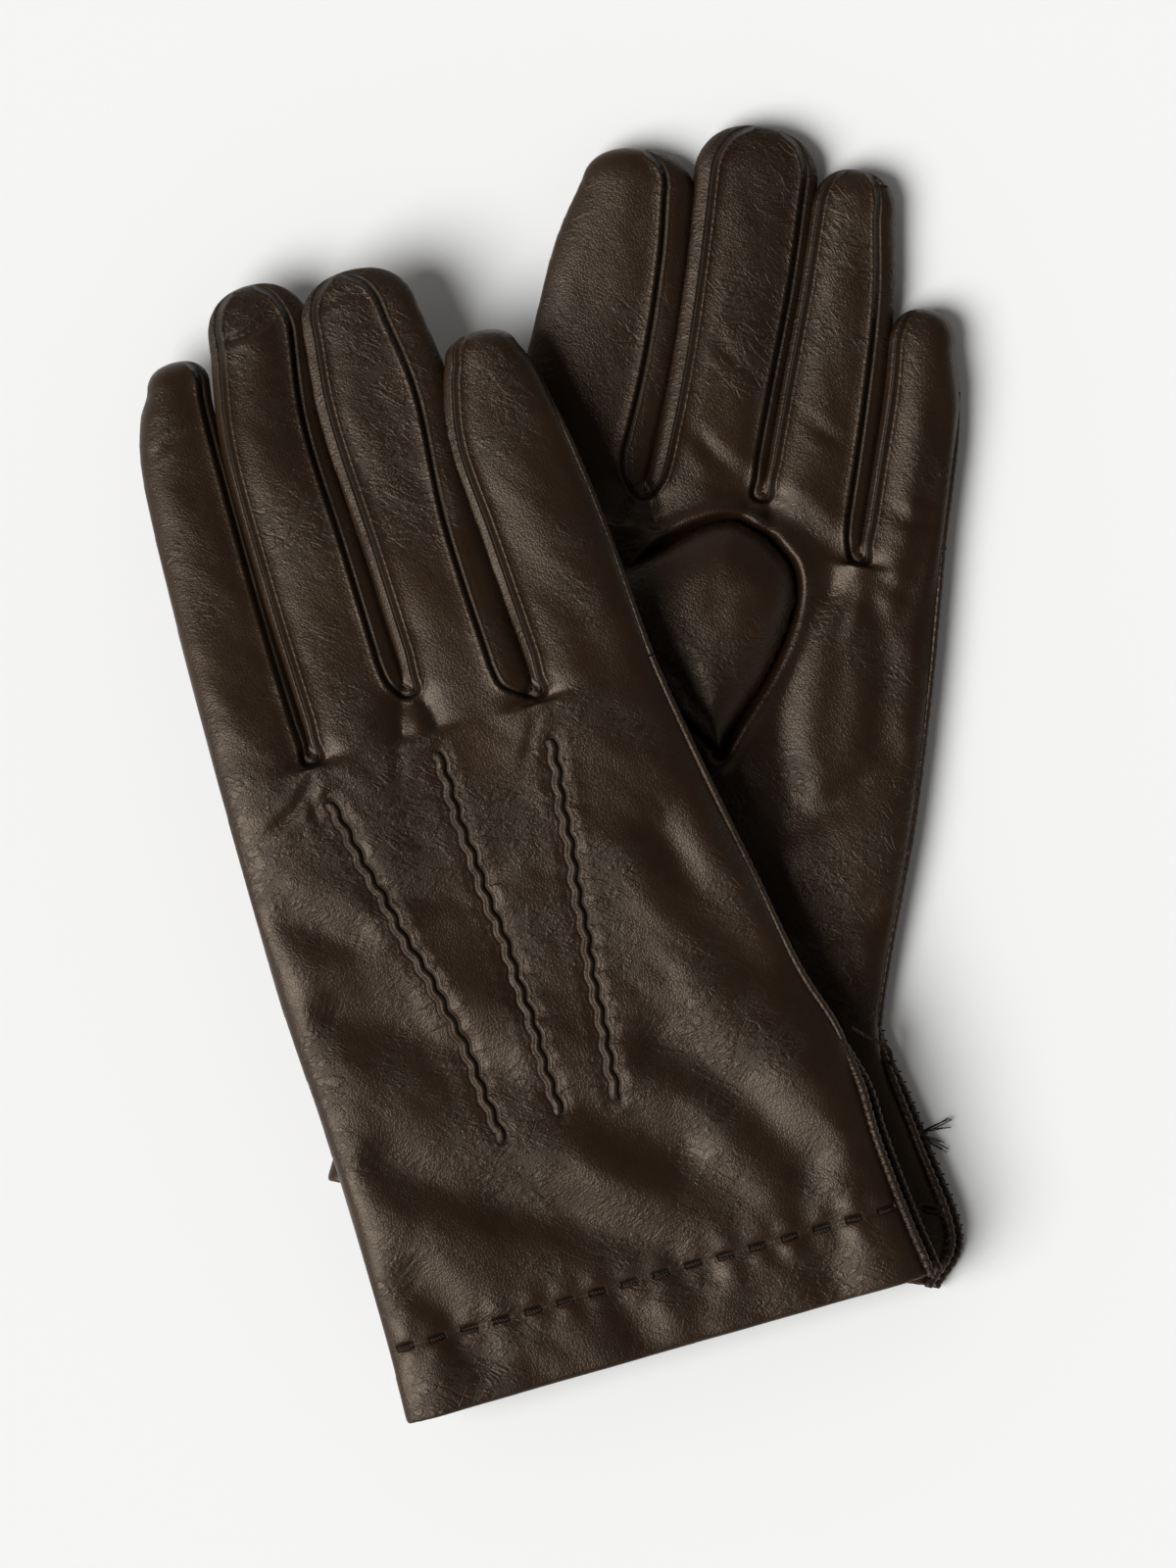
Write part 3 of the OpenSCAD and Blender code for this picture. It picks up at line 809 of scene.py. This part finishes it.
def add_skin(g):
    """The leather of one glove, cut into its pieces."""
    side = g["side"]
    parts = [hand_solid(g)] + [finger_solid(g, n) for n in range(4)]
    for cx, cy in g["crotches"]:
        parts.append(blob((cx, cy - 9, MID), (5.0, 9.0, 4.5)))
        parts.append(blob((cx, cy - 1.5, MID - 1.0), (3.5, 6.5, 3.2)))
    v, q = fused(*joined(parts), VOXEL)
    v = relax(v, q, 4)
    finger = finger_of(g, v[:, 0], v[:, 1])
    v = widen(g, v)
    strip = inside_strip(g, v[:, 0], v[:, 1])
    dist, _, run = nearest(seam_lines(g), v[:, 0], v[:, 1])
    seam = np.where(strip, -dist, dist)
    tuck, tuck_side, tuck_run = np.full(len(v), 9.0), np.zeros(len(v)), np.zeros(len(v))
    up = v[:, 2] > MID
    # the back of the hand is up on the upper glove and down on the lower one
    back = up if side == "right" else ~up
    lines = [wavy(r) for r in POINTS]
    d, way, along = nearest(lines, v[:, 0], v[:, 1])
    tuck[back], tuck_side[back], tuck_run[back] = d[back], way[back], along[back]
    rest = v.copy()
    v = seam_valleys(g, part_vent(g, drape(g, v)), dist, strip)
    if side == "right":
        valley = (0.24 + 0.04 * tuck_side) * np.exp(-((tuck - 1.8) / 1.0) ** 2)
        v[back, 2] += (0.3 * np.exp(-(tuck / 1.2) ** 2) - valley)[back]
    else:
        v = thumb_seat(v)
        v[:, 2] = np.maximum(v[:, 2], 0.15)
    g["skin"] = (v, q)
    g["tree"] = BVHTree.FromPolygons(v.tolist(), q.tolist())
    world = lay(g, droop(g, v, finger))
    normals = vertex_normals(world, q)
    mid = rest[q].mean(1)
    n = np.max(finger[q], axis=1)
    beyond = mid[:, 1] > g["knuckle"]
    top = mid[:, 2] > MID
    strip_face = strip[q].mean(1) > 0.5
    inner = in_cuff(g, mid)
    vent = in_vent(g, mid)
    hem_y, hem_run = rest[:, 1] - HEM_H, hem_phase(g, rest[:, 0])
    data = dict(rest=rest, normals=normals, seam=seam, run=run, tuck=tuck, tuckside=tuck_side,
                tuckrun=tuck_run, hem=hem_y, hemrun=hem_run)

    def cut(name, faces, *nodes, material=LEATHER, slot_name="glove_leather"):
        obj = piece(f"{side}_{name}", world, q[faces], material, slot_name, **data)
        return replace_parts(obj, *[f"{side}_{m}" for m in nodes])

    hand = ~beyond & ~inner & ~vent
    is_back = top if side == "right" else ~top
    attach(cut("back_leather", hand & is_back, "back"), f"{side}_hand")
    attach(cut("palm_leather", hand & ~is_back, "palm"), f"{side}_hand")
    cuff = inner & ~vent
    hem = cuff & (mid[:, 1] < HEM_H + 1)
    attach(cut("hem_facing", hem), f"{side}_hand")
    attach(cut("hand_knit", cuff & ~hem, "hand_lining", material=KNIT, slot_name="knitted_lining"),
            f"{side}_hand")
    for i, name in enumerate(NAMES):
        mine = beyond & (n == i)
        spans = [(name, mine)]
        if side == "left" and i == 0:
            tip = mid[:, 1] > INDEX_SPLIT
            spans = [(name, mine & ~tip), (name + "_tip", mine & tip)]
        for part, faces in spans:
            bends = not (side == "left" and part == "index")
            for suffix, chosen in (("", faces & ~strip_face), ("_fourchettes", faces & strip_face)):
                obj = cut(f"{part}{suffix}_leather", chosen, part + suffix)
                if bends:
                    ride_or_blend(g, obj, part, True)
                else:
                    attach(obj, f"{side}_hand")


def part_vent(g, v):
    """Lets the lower leaf of the open vent stand out past the upper one."""
    v = v.copy()
    low = ease((MID - v[:, 2]) / 2)
    near = ease((v[:, 0] - g["right_x"](v[:, 1]) + 12) / 12)
    v[:, 0] += LEAF_OUT * low * near * ease((VENT - v[:, 1]) / 20)
    return v


def in_cuff(g, p):
    """Which points lie on the inside of the cuff."""
    y = p[:, 1]
    left, right = g["left_x"](y), g["right_x"](y)
    half = cuff_half(g, y)
    z_in = np.abs(p[:, 2] - MID) < half - WALL * 0.62
    x_in = (p[:, 0] > left + WALL * 0.55) & (p[:, 0] < right - WALL * 0.55)
    edge_in = np.minimum(p[:, 0] - left, right - p[:, 0])
    lens = np.clip(edge_in / 9, 0, 1)
    wall = half * np.sqrt(1 - (1 - lens) ** 2)
    return (y < 118) & (y > -0.2) & x_in & z_in & (np.abs(p[:, 2] - MID) < wall - 0.75)


def in_vent(g, p):
    """Which points of the sewn side's wall are cut away by the vent."""
    y = p[:, 1]
    return (y < VENT - 2) & (p[:, 0] > g["right_x"](y) - 5) & (np.abs(p[:, 2] - MID) < 1.7)


def thumb_seat(v):
    """The palm round the thumb: a lip, then a deep seam, then the hole."""
    v = v.copy()
    x, y, z = v[:, 0], v[:, 1], v[:, 2]
    dist, _, _ = nearest([TEARDROP], x, y)
    inside = polygon_side(TEARDROP, x, y)
    d = np.where(inside, -dist, dist)
    top = ease((z - MID) / 2)
    dz = 1.0 * np.exp(-((d - 2.6) / 1.6) ** 2) - 2.6 * np.exp(-(np.maximum(d, 0) / 0.9) ** 2)
    dz = np.where(inside, -2.6 - 0.6 * ease(dist / 2), dz)
    v[:, 2] += dz * top
    return v


def add_linings(g):
    """The knitted lining of the fingers, inside their leather."""
    side = g["side"]
    for i, name in enumerate(NAMES):
        v, f = finger_solid(g, i, LINING_IN, start=6 - (g["fingers"][i]["root"] - g["knuckle"]))
        whole = np.array([v[list(q)].mean(0)[1] for q in f])
        world = lay(g, droop(g, widen(g, v), i))
        spans = [(name, [q for q, y in zip(f, whole)])]
        if side == "left" and i == 0:
            spans = [(name, [q for q, y in zip(f, whole) if y < INDEX_SPLIT]),
                     (name + "_tip", [q for q, y in zip(f, whole) if y >= INDEX_SPLIT])]
        for part, faces in spans:
            obj = piece(f"{side}_{part}_knit", world, faces, KNIT, "knitted_lining", rest=v)
            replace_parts(obj, f"{side}_{part}_lining")
            if side == "left" and part == "index":
                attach(obj, "left_hand")
            else:
                ride_or_blend(g, obj, part, True)


def surface(g, x, y, from_top=True):
    """Height of a glove's skin at (x, y)."""
    start = Vector((x, y, 40 if from_top else -40))
    hit = g["tree"].ray_cast(start, Vector((0, 0, -1 if from_top else 1)))
    return hit[0].z if hit[0] else MID


def add_points(g):
    """The three sewn points: narrow wavy ridges on the back."""
    side = g["side"]
    top = side == "right"
    sign = 1 if top else -1
    for name, run in zip(("index", "middle", "ring"), POINTS):
        line = wavy(run)
        z = np.array([surface(g, x, y, top) for x, y in line])
        z = np.convolve(np.pad(z, 6, "edge"), np.ones(13) / 13, "valid")
        t = np.gradient(line, axis=0)
        t /= np.linalg.norm(t, axis=1, keepdims=True)
        side_way = np.stack([t[:, 1], -t[:, 0]], 1)
        fade = ease(np.minimum(np.arange(len(line)), np.arange(len(line))[::-1]) / 12)
        across = np.linspace(-1, 1, 11)
        rows = []
        for i in range(len(line)):
            w = 0.78 * (0.5 + 0.5 * fade[i]) * (1 + 0.12 * math.sin(i * 0.37))
            h = 0.95 * fade[i] * (1 + 0.1 * math.sin(i * 0.23))
            xy = line[i] + np.outer(across * w, side_way[i])
            lift = z[i] + sign * (h * (1 - np.abs(across) ** 2.4) ** 0.6 - 0.55)
            low = z[i] - sign * 1.2
            ring = np.vstack([np.c_[xy, lift], [[*xy[-1], low], [*xy[0], low]]])
            rows.append(ring)
        v, f = loft(rows)
        if not top:
            v[:, 2] = np.maximum(v[:, 2], 0.05)
        obj = piece(f"{side}_point_{name}_ridge", lay(g, v), f, TRIM, "leather_trim", rest=v)
        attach(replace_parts(obj, f"{side}_point_{name}"), f"{side}_hand")


def add_stitches(g):
    """The hem's running stitches, on both faces."""
    side = g["side"]
    xs = np.linspace(g["left_x"](HEM_H) + 4, g["right_x"](HEM_H) - 4, 16)
    parts = []
    for top in (True, False):
        sign = 1 if top else -1
        for n, x in enumerate(xs):
            along = np.linspace(-2.3, 2.3, 9)
            y = HEM_H - 0.4 + 0.35 * math.sin(n * 2.3)
            z = np.array([surface(g, x + a, y, top) for a in along])
            dip = 0.2 - 1.0 * np.abs(along / 2.3) ** 3
            path = np.stack([x + along, y + 0.1 * along * math.sin(n * 1.7),
                             z + sign * dip], 1)
            if side == "left" and not top:
                path[:, 2] = np.maximum(path[:, 2], 0.5)
            parts.append(tube(path, 0.42 * (1 - 0.3 * np.abs(along / 2.3) ** 2), 8))
    v, f = joined(parts)
    obj = piece(f"{side}_hem_thread", lay(g, v), f, THREAD, "sewing_thread", rest=v)
    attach(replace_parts(obj, f"{side}_hem_stitches"), f"{side}_hand")


def add_binding(g):
    """The bound edges of the vent, whipped with thread."""
    side = g["side"]
    y = np.arange(-0.3, VENT - 1.5, 0.35)
    parts, paths = [], []
    for sign in (1, -1):
        spread = 2.3 * ease((VENT - 2 - y) / 14) + 0.5
        x = g["right_x"](y) - 0.4 - 0.5 * (1 - ease((VENT - 2 - y) / 14))
        x = x + (0 if sign > 0 else LEAF_OUT * ease((VENT - y) / 20))
        path = np.stack([x, y, MID + sign * spread], 1)
        paths.append(path)
        parts.append(tube(path, 0.95 + 0.12 * np.sin(y * 2 * math.pi / 1.9), 10, 0.8))
    v, f = joined(parts)
    obj = piece(f"{side}_vent_edge", lay(g, v), f, TRIM, "leather_trim", rest=v)
    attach(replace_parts(obj, f"{side}_vent_binding"), f"{side}_hand")
    loops = []
    turn = np.linspace(0, 2 * math.pi, 13)
    for path in paths:
        for x, y, z in path[4:-3:6]:
            ring = np.stack([x + 0.95 * np.cos(turn), y + 0.5 * turn / math.pi,
                             z + 0.8 * np.sin(turn)], 1)
            loops.append(tube(ring, 0.17, 6))
    v, f = joined(loops)
    obj = piece(f"{side}_vent_whipping", lay(g, v), f, THREAD, "sewing_thread", rest=v)
    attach(obj, f"{side}_hand")


def add_side_seam(g):
    """The welt that stands out along the sewn side of the hand and little finger."""
    side = g["side"]
    little = g["fingers"][3]
    k = g["knuckle"]
    y = np.arange(VENT - 3, little["tip_from"] - 8, 0.5)
    x = np.where(y < k, g["right_x"](y), np.minimum(g["right_x"](y), little["xr"](y)))
    x = np.convolve(np.pad(x, 8, "edge"), np.ones(17) / 17, "valid") - 0.35
    ripple = 1 + 0.06 * np.sin(y * 2 * math.pi / 2.2)
    radius = 0.85 * ripple * (0.25 + 0.75 * ease((y[-1] - y) / 16))
    path = droop(g, np.stack([x, y, np.full(len(y), MID + 0.8)], 1), 3)
    for name, part, here in (("side_welt", "side_seam", y <= k + 0.6), ("little_welt", None, y >= k)):
        v, f = tube(path[here], radius[here], 10, 1.15)
        obj = piece(f"{side}_{name}", lay(g, v), f, TRIM, "leather_trim", rest=v)
        if part:
            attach(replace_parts(obj, f"{side}_{part}"), f"{side}_hand")
        else:
            ride_or_blend(g, obj, "little", True)


def pillow(outline, base, height, radius, step, power=2.1):
    """A padded top over a closed outline, coming down to base at its edge; it has no bottom."""
    lo, hi = outline.min(0) - step, outline.max(0) + step
    xs, ys = np.arange(lo[0], hi[0], step), np.arange(lo[1], hi[1], step)
    gx, gy = np.meshgrid(xs, ys, indexing="ij")
    x, y = gx.ravel(), gy.ravel()
    tree = KDTree(len(outline))
    for i, p in enumerate(outline):
        tree.insert((p[0], p[1], 0), i)
    tree.balance()
    d = np.array([tree.find((a, b, 0))[2] for a, b in zip(x, y)])
    d = np.where(polygon_side(outline, x, y), d, -d)
    t = np.clip(d / radius, 0, 1)
    z = base + height * (1 - (1 - t) ** power) ** (1 / power)
    keep = d > -step
    n, m = len(xs), len(ys)
    idx = np.arange(n * m).reshape(n, m)
    quads = np.stack([idx[:-1, :-1], idx[1:, :-1], idx[1:, 1:], idx[:-1, 1:]], -1).reshape(-1, 4)
    quads = quads[keep[quads].all(1)]
    top = np.stack([x, y, z], 1)
    top[d <= 0, 2] = base
    return top, quads


def add_lower_thumb():
    """The lower glove's thumb: its pad in the palm, and the rest of it lying to the left."""
    g = LOWER
    way = math.radians(90 + 115)
    along = np.array([math.cos(way), math.sin(way)])
    across = np.array([-along[1], along[0]])
    root = np.array([-8.0, 142.0])
    tip = [root + along * (61 - 14 + 14 * math.sin(a)) + across * 12 * math.cos(a)
           for a in np.linspace(0, math.pi, 12)]
    upper = [tuple(p) for p in TEARDROP[TEARDROP[:, 0] > -13][::4]]
    start = root + along * 16 - across * 12.5
    finish = root + along * 18 + across * 12.5
    ring = upper + [(-9, 116.5), tuple(finish)] + [tuple(p) for p in tip] + [tuple(start)]
    outline = through(ring + [ring[0]], 0.5)[:-1]
    v, q = pillow(outline, 8.0, 8.6, 13.0, 0.8)
    v = relax(v, q, 3)
    v[:, 2] += 0.3 * noise(v[:, 0], v[:, 1], 12, 31) + 0.12 * noise(v[:, 0], v[:, 1], 4, 33)
    world = lay(g, v)
    obj = piece("left_thumb_leather", world, q, LEATHER, "glove_leather", rest=v,
                normals=vertex_normals(world, q))
    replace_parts(obj, "left_thumb")
    swing = [lay(g, np.array([[*(root + along * s), 12]]))[0] for s in (8, 30)]
    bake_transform(obj)
    inner = through([tuple(root + (np.array(p) - root) * 0.82) for p in outline[::8]], 1.0)
    v, q = pillow(inner, 8.2, 6.0, 11.0, 1.6)
    obj = piece("left_thumb_knit", lay(g, v), q, KNIT, "knitted_lining", rest=v)
    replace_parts(obj, "left_thumb_lining")
    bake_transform(obj)


def add_upper_thumb():
    """The upper glove's thumb, which lies under its palm."""
    g = UPPER
    root = np.array([-46.5, 124.0])
    way = math.radians(90 - 10)
    along = np.array([math.cos(way), math.sin(way)])
    across = np.array([along[1], -along[0]])
    for name, node, inset, material, slot_name in (
            ("right_thumb_leather", "right_thumb", 0.0, LEATHER, "glove_leather"),
            ("right_thumb_knit", "right_thumb_lining", WALL * 0.8, KNIT, "knitted_lining")):
        rows = []
        for s in np.concatenate([[-13.2, -12, -9.5], np.arange(-6, 48, 3), [50.5, 54, 57, 59, 60]]):
            start = math.sqrt(max(0.02, 1 - (max(0, -s - 4) / 9.4) ** 2))
            end = math.sqrt(max(0.02, 1 - (max(0, s - 46) / 14.2) ** 2))
            half = (12.5 - 2.0 * s / 60 - inset) * min(start, end)
            height = (4.3 - inset) * min(start, end) ** 0.7
            centre = root + along * s
            down = -4.9 - math.tan(math.radians(8)) * max(0.0, s + 13)
            a = np.linspace(0, 2 * math.pi, 32, endpoint=False)
            rows.append(np.c_[centre + np.outer(half * np.cos(a), across), down + height * np.sin(a)])
        v, f = loft(rows)
        v[:, 2] += 0.2 * noise(v[:, 0], v[:, 1], 9, 41)
        obj = piece(name, lay(g, v), f, material, slot_name, rest=v)
        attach(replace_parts(obj, node), "right_thumb")


def add_tack():
    """The thread that ties the gloves together, its knot and its frayed tails."""
    route = [(67.0, -56.2, 18.5), (70.5, -58.4, 16.0), (75.4, -61.2, 10.5), (76.6, -66.0, 6.5),
             (79.0, -73.0, 5.2), (81.2, -79.0, 3.9)]
    path = through(route, 0.25)
    turn = np.arange(len(path)) * 0.8
    parts = []
    for phase in (0, math.pi):
        t = np.gradient(path, axis=0)
        t /= np.linalg.norm(t, axis=1, keepdims=True)
        u = np.cross(t, (0, 0, 1))
        u /= np.linalg.norm(u, axis=1, keepdims=True)
        w = np.cross(t, u)
        ply = path + 0.22 * (np.cos(turn + phase)[:, None] * u + np.sin(turn + phase)[:, None] * w)
        parts.append(tube(ply, 0.27, 7))
    v, f = joined(parts)
    obj = piece("tack_twine", v * MM, f, THREAD, "sewing_thread", rest=v)
    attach(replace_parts(obj, "tack_thread"), "tack")
    knot = np.array([82.0, -80.4, 3.0])
    parts = []
    a = np.linspace(0, 4 * math.pi, 60)
    parts.append(tube(knot + np.stack([0.75 * np.cos(a), 0.6 * np.sin(a), 0.5 * np.sin(a * 1.5)], 1), 0.36, 7))
    rng = np.random.default_rng(5)
    for end in ((89.2, -78.0, 1.6), (88.4, -83.4, 1.4)):
        for strand in range(5):
            far = np.array(end) + rng.uniform(-1, 1, 3) * (1.2, 1.2, 0.5)
            mid = (knot + far) / 2 + rng.uniform(-0.5, 0.5, 3)
            parts.append(tube(through([knot, mid, far], 0.5), 0.13, 5))
    v, f = joined(parts)
    obj = piece("tack_knot_twine", v * MM, f, THREAD, "sewing_thread", rest=v)
    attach(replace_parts(obj, "tack_knot"), "tack")


# ---------------------------------------------------------------- studio

IMAGE_MID = (0.00825, -0.00198)   # middle of the picture on the surface
IMAGE_LONG = 0.352                # how much of the surface its long side takes in


def add_studio():
    cam = bpy.data.cameras.new("camera")
    far = 3.0
    cam.sensor_width = 36
    cam.lens = 36 * far / IMAGE_LONG
    cam.clip_start, cam.clip_end = 0.01, 20
    obj = bpy.data.objects.new("camera", cam)
    obj.location = (IMAGE_MID[0], IMAGE_MID[1], far)
    bpy.context.collection.objects.link(obj)
    bpy.context.scene.camera = obj

    m, t, bsdf = node_tree("paper")
    g = Graph(t)
    geometry = t.nodes.new("ShaderNodeNewGeometry")
    grain = g.node("ShaderNodeTexNoise", Vector=geometry.outputs["Position"], Scale=900.0, Detail=3.0)
    bump = g.node("ShaderNodeBump", Height=grain.outputs["Fac"])
    bump.inputs["Strength"].default_value = 0.02
    bump.inputs["Distance"].default_value = 0.0002
    g.put(bsdf.inputs["Normal"], bump.outputs[0])
    bsdf.inputs["Base Color"].default_value = (0.9, 0.9, 0.9, 1)
    bsdf.inputs["Roughness"].default_value = 0.9
    bsdf.inputs["Specular IOR Level"].default_value = 0.1
    mesh = new_mesh("floor", [(-4, -4, 0), (4, -4, 0), (4, 4, 0), (-4, 4, 0)], [(0, 1, 2, 3)])
    mesh.materials.append(m)
    floor = bpy.data.objects.new("floor", mesh)
    bpy.context.collection.objects.link(floor)

    world = bpy.data.worlds.new("soft light")
    world.use_nodes = True
    sky = world.node_tree
    w = Graph(sky)
    way = w.node("ShaderNodeSeparateXYZ", Vector=sky.nodes.new("ShaderNodeTexCoord").outputs["Generated"])
    ramp = sky.nodes.new("ShaderNodeValToRGB")
    ramp.color_ramp.elements[0].color = (0.56, 0.55, 0.53, 1)
    ramp.color_ramp.elements[1].color = (0.020, 0.020, 0.019, 1)
    w.put(ramp.inputs[0], w.maths("ABSOLUTE", way.outputs["Z"]))
    w.put(sky.nodes["Background"].inputs["Color"], ramp.outputs[0])
    # The room is brighter towards the cuffs' left
    w.put(sky.nodes["Background"].inputs["Strength"],
          w.plus(1.0, w.times(way.outputs["X"], -0.55), w.times(way.outputs["Y"], -0.3)))
    bpy.context.scene.world = world
    light = bpy.data.lights.new("key", "SUN")
    light.angle = math.radians(42)
    light.energy = 3.5
    obj = bpy.data.objects.new("key", light)
    toward = Vector((0.80, 0.42, -1.0))
    obj.rotation_euler = toward.to_track_quat("-Z", "Y").to_euler()
    bpy.context.collection.objects.link(obj)
    bpy.context.scene.view_settings.view_transform = "Standard"


add_studio()
for glove in (LOWER, UPPER):
    add_skin(glove)
    add_linings(glove)
    add_points(glove)
    add_stitches(glove)
    add_binding(glove)
    add_side_seam(glove)
add_lower_thumb()
add_upper_thumb()
add_tack()
